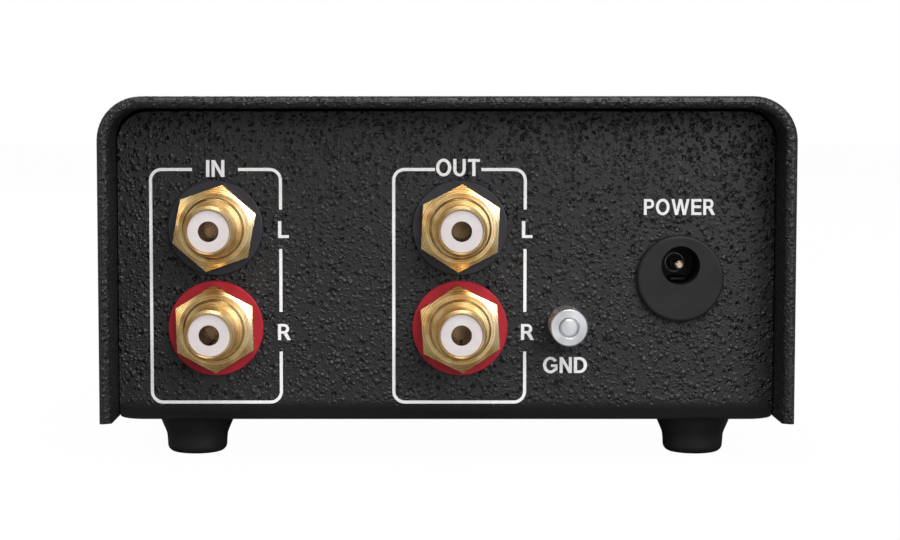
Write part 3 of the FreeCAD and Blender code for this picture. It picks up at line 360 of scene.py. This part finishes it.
materials = {
    "coverCoat": makeCoat("black wrinkle coat", False),
    "trayCoat": makeCoat("black wrinkle coat, smooth fold", True),
    "gold": grainyMaterial(
        "gold plate", ((0.86, 0.60, 0.22), (0.78, 0.50, 0.16)), (0.17, 0.27), 1.0,
        grainScale=3000, patchScale=500, depth=0.004),
    # gold darkened to brown as painted shade deep in the sockets' holes
    "shadedContactGold": grainyMaterial(
        "contact gold in painted shade", ((0.34, 0.23, 0.13), (0.20, 0.13, 0.08)), (0.22, 0.34), 1.0),
    "whiteMoulding": grainyMaterial(
        "white moulding", ((0.66, 0.61, 0.605), (0.60, 0.545, 0.545)), (0.38, 0.46),
        depth=0.004, Subsurface_Weight=0.12, Subsurface_Scale=0.001),
    "redWasher": grainyMaterial(
        "red washer", ((0.38, 0.010, 0.022), (0.30, 0.006, 0.016)), (0.45, 0.58), Specular_IOR_Level=0.3),
    "blackWasher": grainyMaterial(
        "black washer", ((0.018, 0.018, 0.026), (0.010, 0.010, 0.018)), (0.40, 0.5), Specular_IOR_Level=0.4),
    "inlet": grainyMaterial(
        "inlet moulding", ((0.014, 0.014, 0.0155), (0.009, 0.009, 0.0098)), (0.44, 0.54),
        grainScale=9000, patchScale=220, depth=0.006, Specular_IOR_Level=0.22),
    "rubber": grainyMaterial(
        "foot rubber", ((0.016, 0.015, 0.015), (0.011, 0.0105, 0.0105)), (0.5, 0.64),
        grainScale=7000, patchScale=260, depth=0.012, Specular_IOR_Level=0.2),
    "steel": grainyMaterial(
        "plated steel", ((0.60, 0.60, 0.61), (0.50, 0.50, 0.52)), (0.24, 0.36), 1.0),
    "dullSteel": grainyMaterial(
        "dull steel", ((0.16, 0.16, 0.17), (0.10, 0.10, 0.11)), (0.3, 0.4), 1.0),
    "blackScrew": grainyMaterial(
        "blackened screw", ((0.03, 0.03, 0.032), (0.02, 0.02, 0.021)), (0.32, 0.44), 0.6),
    "pin": grainyMaterial(
        "inlet pin", ((0.66, 0.54, 0.46), (0.48, 0.34, 0.24)), (0.18, 0.28), 1.0),
    "nickel": grainyMaterial(
        "bright nickel", ((0.72, 0.71, 0.70), (0.60, 0.58, 0.56)), (0.24, 0.38), 1.0),
    "knurl": makeKnurl(),
    "board": grainyMaterial(
        "solder resist", ((0.02, 0.16, 0.07), (0.015, 0.12, 0.05)), (0.28, 0.38)),
    "chip": grainyMaterial(
        "chip moulding", ((0.022, 0.022, 0.024), (0.016, 0.016, 0.018)), (0.5, 0.62)),
    "sleeve": grainyMaterial(
        "capacitor sleeve", ((0.02, 0.02, 0.05), (0.015, 0.015, 0.035)), (0.22, 0.32)),
    "film": grainyMaterial(
        "dipped film", ((0.42, 0.04, 0.02), (0.34, 0.03, 0.015)), (0.2, 0.3)),
    "wire": grainyMaterial(
        "grey wire", ((0.33, 0.33, 0.34), (0.27, 0.27, 0.28)), (0.4, 0.52)),
    "redWire": grainyMaterial(
        "red wire", ((0.42, 0.02, 0.02), (0.34, 0.015, 0.015)), (0.4, 0.52)),
    "lens": grainyMaterial(
        "light lens", ((0.55, 0.66, 0.85), (0.50, 0.61, 0.80)), (0.2, 0.3), Coat_Weight=0.3),
    "ink": grainyMaterial(
        "white ink", ((0.86, 0.86, 0.87), (0.78, 0.78, 0.80)), (0.5, 0.62),
        grainScale=4500, patchScale=1500, depth=0.008),
}
goldTones = ((0.47, 0.26, 0.085), (0.78, 0.55, 0.25), (0.93, 0.77, 0.49))
nickelTones = ((0.46, 0.46, 0.475), (0.60, 0.61, 0.63), (0.74, 0.755, 0.78))
for name in sockets:
    materials["gold_" + name] = turnedMaterial(
        "gold plate, " + name.replace("_", " "), centreOf("shell_" + name), goldTones, (0.20, 0.36),
        ringScale=5200, depth=0.018)
materials["turnedNickel"] = turnedMaterial(
    "turned nickel", centreOf("thumb_nut"), nickelTones, (0.32, 0.50), ringScale=7000, depth=0.016)
print("materials made")

slotMaterials = {
    "textured_black": "coverCoat", "black_screw": "blackScrew", "bright_steel": "steel",
    "bright_nickel": "nickel", "tinned_metal": "steel", "gold_plate": "gold", "red_washer": "redWasher",
    "black_washer": "blackWasher", "white_moulding": "whiteMoulding", "black_moulding": "inlet",
    "foot_rubber": "rubber", "board_green": "board", "capacitor_sleeve": "sleeve", "film_red": "film",
    "wire_grey": "wire", "wire_red": "redWire", "light_lens": "lens",
}


def dressNode(name, material):
    holder = nodes[name]
    holder.data.materials.clear()
    holder.data.materials.append(materials[material])


for part in frame["record"]["subparts"]:
    dressNode(part["node"], slotMaterials[part["material_slot"]])
dressNode("tray", "trayCoat")
for name in ("amplifier_chips", "voltage_regulator"):
    dressNode(name, "chip")
for name in sockets:
    dressNode("contact_" + name, "shadedContactGold")
    dressNode("shell_" + name, "gold_" + name)
dressNode("ground_stud", "turnedNickel")
dressNode("power_spring", "dullSteel")
dressNode("power_pin", "pin")


# pieces

def finishPiece(name, shape, material, body="enclosure", sharpAngle=32):
    # makes an object of a bmesh, with smooth sides between its hard edges
    bmesh.ops.recalc_face_normals(shape, faces=shape.faces)
    mesh = bpy.data.meshes.new(name)
    shape.to_mesh(mesh)
    shape.free()
    mesh.polygons.foreach_set("use_smooth", [True] * len(mesh.polygons))
    mesh.set_sharp_from_angle(angle=math.radians(sharpAngle))
    piece = bpy.data.objects.new(name, mesh)
    bpy.context.collection.objects.link(piece)
    mesh.materials.append(materials[material])
    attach(piece, body)
    return piece


def spun(profile, steps):
    # a ring about Z, spun from a closed profile of radii and heights
    shape = bmesh.new()
    corners = [shape.verts.new((radius, 0, height)) for radius, height in profile]
    for first, second in zip(corners, corners[1:] + corners[:1]):
        shape.edges.new((first, second))
    bmesh.ops.spin(shape, geom=shape.verts[:] + shape.edges[:], cent=(0, 0, 0), axis=(0, 0, 1),
                   angle=math.tau, steps=steps, use_merge=True)
    return shape


def arcPoints(centreX, centreY, radiusX, radiusY, fromAngle, toAngle, steps):
    for step in range(steps + 1):
        angle = math.radians(fromAngle + (toAngle - fromAngle) * step / steps)
        yield centreX + radiusX * math.cos(angle), centreY + radiusY * math.sin(angle)


# bold sans capitals for a cap height of 1: plain polygons, and bands between an outer and an inner line
bowl = ([(0, 0.40), *arcPoints(0.43, 0.70, 0.31, 0.30, -90, 90, 10), (0, 1)],
        [(0.21, 0.56), *arcPoints(0.41, 0.70, 0.13, 0.14, -90, 90, 10), (0.21, 0.84)])
stem = [(0, 0), (0.21, 0), (0.21, 0.40), (0, 0.40)]
letters = {
    "I": {"width": 0.21, "solid": [
        [(0, 0), (0.21, 0), (0.21, 1), (0, 1)]]},
    "N": {"width": 0.80, "solid": [
        [(0, 0), (0.20, 0), (0.20, 0.65), (0.59, 0), (0.80, 0), (0.80, 1), (0.60, 1), (0.60, 0.35),
         (0.21, 1), (0, 1)]]},
    "T": {"width": 0.80, "solid": [
        [(0.295, 0), (0.505, 0), (0.505, 0.83), (0.80, 0.83), (0.80, 1), (0, 1), (0, 0.83), (0.295, 0.83)]]},
    "L": {"width": 0.68, "solid": [
        [(0, 0), (0.68, 0), (0.68, 0.17), (0.21, 0.17), (0.21, 1), (0, 1)]]},
    "E": {"width": 0.74, "solid": [
        [(0, 0), (0.74, 0), (0.74, 0.17), (0.21, 0.17), (0.21, 0.43), (0.69, 0.43), (0.69, 0.60),
         (0.21, 0.60), (0.21, 0.83), (0.73, 0.83), (0.73, 1), (0, 1)]]},
    "W": {"width": 1.32, "solid": [
        [(0, 1), (0.27, 0), (0.49, 0), (0.66, 0.70), (0.83, 0), (1.05, 0), (1.32, 1), (1.11, 1),
         (0.94, 0.31), (0.77, 1), (0.55, 1), (0.38, 0.31), (0.21, 1)]]},
    "O": {"width": 1.0, "closed": [
        (list(arcPoints(0.5, 0.5, 0.5, 0.52, 0, 345, 23)),
         list(arcPoints(0.5, 0.5, 0.285, 0.345, 0, 345, 23)))]},
    "D": {"width": 0.86, "closed": [
        ([(0, 0), *arcPoints(0.38, 0.5, 0.48, 0.5, -90, 90, 12), (0, 1)],
         [(0.21, 0.17), *arcPoints(0.36, 0.5, 0.285, 0.33, -90, 90, 12), (0.21, 0.83)])]},
    "P": {"width": 0.74, "closed": [bowl], "solid": [stem]},
    "R": {"width": 0.86, "closed": [bowl], "solid": [
        stem, [(0.62, 0), (0.86, 0), (0.62, 0.42), (0.34, 0.42)]]},
    "U": {"width": 0.82, "open": [
        ([(0, 1), *arcPoints(0.41, 0.37, 0.41, 0.39, 180, 360, 12), (0.82, 1)],
         [(0.21, 1), *arcPoints(0.41, 0.36, 0.20, 0.21, 180, 360, 12), (0.61, 1)])]},
    "G": {"width": 0.96, "open": [
        (list(arcPoints(0.49, 0.5, 0.49, 0.52, 32, 322, 18)),
         list(arcPoints(0.49, 0.5, 0.275, 0.345, 32, 322, 18)))],
        "solid": [
        [(0.705, 0.29), (0.875, 0.18), (0.95, 0.15), (0.95, 0.54), (0.52, 0.54), (0.52, 0.38), (0.75, 0.38),
         (0.75, 0.26)]]},
}
printing = {
    "lift": 0.03 * mm,                # how far the ink stands off the panel
    "line": 0.52 * mm,
    "corner": 1.8 * mm,
    "arcSteps": 8,
    "letterGap": 0.13,                # share of the cap height
    "frames": {                       # middles of the lines, in millimetres across the panel
        "in": {"left": -49.32, "right": -27.66, "gap": (-42.4, -34.73)},
        "out": {"left": -8.77, "right": 13.18, "gap": (-1.89, 5.86)},
    },
    "top": 12.12,                     # drops below the cover's top
    "bottom": 51.16,
    "sideGaps": ((18.8, 25.4), (35.95, 42.63)),
    "words": [                        # word, left, right, top and bottom
        ("IN", -40.05, -36.99, 10.54, 13.37), ("OUT", -1.72, 5.61, 10.37, 13.21),
        ("L", -28.1, -26.28, 20.72, 23.56), ("R", -28.18, -26.01, 37.99, 40.69),
        ("L", 12.65, 14.4, 20.72, 23.56), ("R", 12.54, 14.75, 37.99, 40.69),
        ("GND", 16.25, 23.65, 43.56, 46.26), ("POWER", 32.99, 44.87, 17.04, 19.71),
    ],
}


def panelPoint(x, drop):
    return Vector((x * mm, rearFace - printing["lift"], coverHigh.z - drop * mm))


def fillBand(shape, outer, inner, closed):
    # faces between two lines with as many points each
    pairs = [(shape.verts.new(a), shape.verts.new(b)) for a, b in zip(outer, inner)]
    if closed:
        pairs.append(pairs[0])
    for (a, b), (c, e) in zip(pairs, pairs[1:]):
        shape.faces.new((a, c, e, b))


def strokeAlong(shape, points):
    # a flat band of ink along a run of points on the panel
    half = printing["line"] / 2
    outer, inner = [], []
    for number, point in enumerate(points):
        before = points[max(number - 1, 0)]
        after = points[min(number + 1, len(points) - 1)]
        onward = (after - before).normalized()
        side = Vector((-onward.z, 0, onward.x)) * half
        outer.append(point + side)
        inner.append(point - side)
    fillBand(shape, outer, inner, False)


def cornerArc(centreX, centreDrop, startAngle):
    radius, steps = printing["corner"] / mm, printing["arcSteps"]
    for x, drop in arcPoints(centreX, centreDrop, radius, -radius, startAngle, startAngle + 90, steps):
        yield panelPoint(x, drop)


def makeFrame(name, sizes):
    shape = bmesh.new()
    left, right = sizes["left"], sizes["right"]
    top, bottom = printing["top"], printing["bottom"]
    inset = printing["corner"] / mm
    firstGap, secondGap = printing["sideGaps"]
    start, end = sizes["gap"]
    # anticlockwise: from the top gap round the left side to the right side's lower gap
    strokeAlong(shape, [
        panelPoint(start, top), *cornerArc(left + inset, top + inset, 90),
        *cornerArc(left + inset, bottom - inset, 180), *cornerArc(right - inset, bottom - inset, 270),
        panelPoint(right, secondGap[1])])
    strokeAlong(shape, [panelPoint(right, secondGap[0]), panelPoint(right, firstGap[1])])
    strokeAlong(shape, [
        panelPoint(right, firstGap[0]), *cornerArc(right - inset, top + inset, 0), panelPoint(end, top)])
    return finishPiece("frame_" + name, shape, "ink")


def makeWord(number, word, left, right, top, bottom):
    # a bold word, fitted to its box on the panel
    total = sum(letters[letter]["width"] for letter in word) + printing["letterGap"] * (len(word) - 1)
    stretch, height = (right - left) / total, bottom - top
    shape = bmesh.new()
    start = 0.0

    def place(points):
        return [panelPoint(left + (start + u) * stretch, bottom - v * height) for u, v in points]

    for letter in word:
        glyph = letters[letter]
        for points in glyph.get("solid", []):
            shape.faces.new([shape.verts.new(point) for point in place(points)])
        for kind in ("closed", "open"):
            for outer, inner in glyph.get(kind, []):
                fillBand(shape, place(outer), place(inner), kind == "closed")
        start += glyph["width"] + printing["letterGap"]
    return finishPiece("word_%d_%s" % (number, word.lower()), shape, "ink")


for name, sizes in printing["frames"].items():
    makeFrame(name, sizes)
for number, word in enumerate(printing["words"], 1):
    makeWord(number, *word)
print("printing made")


cover = {
    "corner": 7.2 * mm,
    "wall": 2.0 * mm,
    "outerRim": 0.98 * mm,     # bevels round the ends of the sheet
    "innerRim": 0.98 * mm,
    "outerSteps": 4,
    "innerSteps": 3,
    "rimAngle": 1.2,           # radians: an edge of the rim turns by more
    "arcSteps": 12,
}


def makeCover():
    # the folded cover, with the rims of its sheet rounded
    half = coverHigh.x
    top, bottom = coverHigh.z, coverLow.z
    corner, wall, steps = cover["corner"], cover["wall"], cover["arcSteps"]
    inner = half - wall
    bendX, bendZ = half - corner, top - corner
    section = [(-half, bottom), *arcPoints(-bendX, bendZ, corner, corner, 180, 90, steps),
               *arcPoints(bendX, bendZ, corner, corner, 90, 0, steps), (half, bottom), (inner, bottom),
               *arcPoints(bendX, bendZ, corner - wall, corner - wall, 0, 90, steps),
               *arcPoints(-bendX, bendZ, corner - wall, corner - wall, 90, 180, steps), (-inner, bottom)]
    shape = bmesh.new()
    face = shape.faces.new([shape.verts.new((x, coverLow.y, z)) for x, z in section])
    grown = bmesh.ops.extrude_face_region(shape, geom=[face])
    bmesh.ops.translate(shape, vec=(0, coverHigh.y - coverLow.y, 0),
                        verts=[item for item in grown["geom"] if isinstance(item, bmesh.types.BMVert)])

    def liesAcross(edge):
        return abs(edge.verts[0].co.y - edge.verts[1].co.y) < tiny

    def isOuter(edge):
        middle = (edge.verts[0].co + edge.verts[1].co) / 2
        if abs(abs(middle.x) - half) < tiny or abs(middle.z - top) < tiny:
            return True
        reach = math.hypot(abs(middle.x) - bendX, middle.z - bendZ)
        return abs(middle.x) > bendX and middle.z > bendZ and reach > corner - wall / 2

    def isInner(edge):
        y = edge.verts[0].co.y
        atEnd = min(abs(y - coverLow.y), abs(y - coverHigh.y)) < tiny
        return atEnd and len(edge.link_faces) == 2 and edge.calc_face_angle(0) > cover["rimAngle"]

    for isRim, width, rimSteps in ((isOuter, cover["outerRim"], cover["outerSteps"]),
                                   (isInner, cover["innerRim"], cover["innerSteps"])):
        rim = [edge for edge in shape.edges if liesAcross(edge) and isRim(edge)]
        bmesh.ops.bevel(shape, geom=rim, offset=width, segments=rimSteps, profile=0.5, affect="EDGES",
                        material=-1)
    piece = finishPiece("cover_sheet", shape, "coverCoat")
    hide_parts("cover")
    return piece


makeCover()
print("cover made")


thumbNut = {
    "points": 20,              # knurl points round the rim
    "rows": 8,
    "fineness": 6,             # steps between two points
    "depth": 0.30 * mm,
    "fade": 0.7 * mm,          # the knurl runs out towards both ends
    "bevel": 0.16 * mm,
    "mouth": 0.22 * mm,
    "bore": 1.55 * mm,
    "faceDepth": 0.3 * mm,     # the turned face lies this near the end and looks out of it
    "faceTilt": 0.5,           # least share of its normal that points out
    "sharpAngle": 24,
}


def makeThumbNut():
    # a thumb nut with a diamond knurl on its rim and a turned face
    low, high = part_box("thumb_nut")
    middle = (low + high) / 2
    radius = (high.x - low.x) / 2
    length = high.y - low.y
    bevel, bore, mouth = thumbNut["bevel"], thumbNut["bore"], thumbNut["mouth"]
    rows = thumbNut["rows"] * thumbNut["fineness"]
    profile = [(bore, 0), (radius - bevel, 0)]
    profile += [(radius, bevel + (length - 2 * bevel) * row / rows) for row in range(rows + 1)]
    profile += [(radius - bevel, length), (bore + mouth, length), (bore, length - mouth)]
    shape = spun(profile, thumbNut["points"] * thumbNut["fineness"])

    def wave(value):
        return abs(value % 1.0 * 2 - 1)

    grooves = shape.verts.layers.float.new("groove")
    for vertex in shape.verts:
        reach = math.hypot(vertex.co.x, vertex.co.y)
        if reach > radius - tiny:
            turn = math.atan2(vertex.co.y, vertex.co.x) / math.tau * thumbNut["points"]
            along = (vertex.co.z - bevel) / (length - 2 * bevel) * thumbNut["rows"]
            toEnd = min(vertex.co.z - bevel, length - bevel - vertex.co.z)
            share = min(1, toEnd / thumbNut["fade"]) * (1 - min(wave(turn + along), wave(turn - along)))
            # the share also brings in the knurl material's painted shade in the grooves
            vertex[grooves] = share
            vertex.co.xy *= 1 - thumbNut["depth"] * share / reach
    standing = Matrix.Translation((middle.x, high.y, middle.z)) @ toRear
    bmesh.ops.transform(shape, matrix=standing, verts=shape.verts)
    piece = finishPiece("thumb_nut_knurled", shape, "knurl", "thumb_nut", thumbNut["sharpAngle"])
    piece.data.materials.append(materials["turnedNickel"])
    for polygon in piece.data.polygons:
        if polygon.center.y < low.y + thumbNut["faceDepth"] and polygon.normal.y < -thumbNut["faceTilt"]:
            polygon.material_index = 1
    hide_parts("thumb_nut")
    return piece


makeThumbNut()
print("thumb nut made")


inletCollar = {
    "radius": 1.62 * mm,       # of the ring round the foot of the pin
    "wall": 0.10 * mm,
    "height": 0.4 * mm,
    "steps": 48,
    "mouthDepth": 9.0 * mm,
}


def makeInletCollar():
    # a collar round the pin's foot, deep in the inlet's mouth
    pin = centreOf("power_pin")
    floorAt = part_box("power_socket")[0].y + inletCollar["mouthDepth"]
    outer = inletCollar["radius"]
    inner = outer - inletCollar["wall"]
    top = inletCollar["height"]
    shape = spun([(outer, 0), (outer, top), (inner, top), (inner, 0)], inletCollar["steps"])
    standing = Matrix.Translation((pin.x, floorAt, pin.z)) @ toRear
    bmesh.ops.transform(shape, matrix=standing, verts=shape.verts)
    piece = finishPiece("inlet_collar", shape, "dullSteel")
    return piece


makeInletCollar()
print("inlet collar made")


# studio

studio = {
    "cameraX": -5.34 * mm,     # the camera's place, from the cover's rear edge and top
    "cameraBack": 345.03 * mm,
    "cameraDrop": 3.16 * mm,
    "cameraPitch": 4.156,      # degrees
    "lens": 85.0,
    "shift": 0.0397,
    "clipStart": 0.01,
    "worldLight": 0.26,        # strength for what it lights, and for mirror images
    "worldGloss": 0.45,
    "floorWhite": 0.88,        # the floor's tone for the camera, and for the light that falls on it
    "floorBounce": 0.24,
    "floorGlow": 0.98,         # share of its own light that the camera sees
    "floorRoughness": 0.8,
    "floorHalf": 4,            # metres
    "floorDrop": 0.02 * mm,
    "lamps": {                 # place, what it points at, width and height, watts
        "top": ((0.05, -0.38, 0.80), (0.0, -0.03, 0.03), (0.5, 0.25), 4.5),
        "left": ((-0.8, -0.5, 0.30), (0.0, -0.03, 0.03), (0.3, 0.5), 1.2),
        "front": ((0.32, -1.12, 0.26), (0.0, -0.03, 0.03), (0.6, 0.5), 1.8),
        "back": ((-0.35, 1.05, 0.55), (0.0, 0.03, 0.03), (0.7, 0.5), 6.0),
        "key": ((0.52, -0.88, 0.54), (0.0, -0.03, 0.03), (0.6, 0.6), 7.6),
    },
}


def makeCamera():
    camera = bpy.data.cameras.new("camera")
    camera.lens = studio["lens"]
    camera.shift_x = studio["shift"]
    camera.clip_start = studio["clipStart"]
    holder = bpy.data.objects.new("camera", camera)
    bpy.context.collection.objects.link(holder)
    holder.location = (studio["cameraX"], coverLow.y - studio["cameraBack"],
                       coverHigh.z - studio["cameraDrop"])
    holder.rotation_euler = (math.radians(90 - studio["cameraPitch"]), 0, 0)
    bpy.context.scene.camera = holder


def makeLamps():
    for name, (place, target, size, watts) in studio["lamps"].items():
        lamp = bpy.data.lights.new(name, "AREA")
        lamp.shape = "RECTANGLE"
        lamp.size, lamp.size_y = size
        lamp.energy = watts
        holder = bpy.data.objects.new("lamp_" + name, lamp)
        bpy.context.collection.objects.link(holder)
        holder.location = place
        holder.rotation_euler = (Vector(target) - Vector(place)).to_track_quat("-Z", "Y").to_euler()


def makeWorld():
    world = bpy.data.worlds.new("studio")
    bpy.context.scene.world = world
    world.use_nodes = True
    tree = world.node_tree
    background = next(node for node in tree.nodes if node.type == "BACKGROUND")
    background.inputs["Color"].default_value = (1, 1, 1, 1)
    path = addNode(tree, "ShaderNodeLightPath")
    seen = calculate(tree, "MAXIMUM", path.outputs["Is Camera Ray"], path.outputs["Is Transmission Ray"])
    gloss = calculate(tree, "MULTIPLY", path.outputs["Is Glossy Ray"],
                      studio["worldGloss"] - studio["worldLight"])
    unseen = calculate(tree, "ADD", gloss, studio["worldLight"])
    strength = addNode(tree, "ShaderNodeMix")
    tree.links.new(seen, strength.inputs["Factor"])
    tree.links.new(unseen, strength.inputs[floatFirst])
    strength.inputs[floatSecond].default_value = 1.0
    tree.links.new(strength.outputs[floatResult], background.inputs["Strength"])


def makeFloor():
    shape = bmesh.new()
    bmesh.ops.create_grid(shape, x_segments=1, y_segments=1, size=studio["floorHalf"])
    mesh = bpy.data.meshes.new("floor")
    shape.to_mesh(mesh)
    shape.free()
    floor = bpy.data.objects.new("floor", mesh)
    bpy.context.collection.objects.link(floor)
    floor.location.z = -studio["floorDrop"]
    material, tree, shader = newMaterial("white floor")
    path = addNode(tree, "ShaderNodeLightPath")
    shown = path.outputs["Is Camera Ray"]
    tree.links.new(mixColour(tree, shown, (studio["floorBounce"],) * 3, (studio["floorWhite"],) * 3),
                   shader.inputs["Base Color"])
    shader.inputs["Roughness"].default_value = studio["floorRoughness"]
    glow = addNode(tree, "ShaderNodeEmission")
    mixed = addNode(tree, "ShaderNodeMixShader")
    output = next(node for node in tree.nodes if node.type == "OUTPUT_MATERIAL")
    tree.links.new(calculate(tree, "MULTIPLY", shown, studio["floorGlow"]), mixed.inputs["Fac"])
    tree.links.new(shader.outputs["BSDF"], mixed.inputs[shaderFirst])
    tree.links.new(glow.outputs["Emission"], mixed.inputs[shaderSecond])
    tree.links.new(mixed.outputs["Shader"], output.inputs["Surface"])
    mesh.materials.append(material)


makeCamera()
makeLamps()
makeWorld()
makeFloor()
bpy.context.scene.view_settings.view_transform = "Standard"
print("studio made")
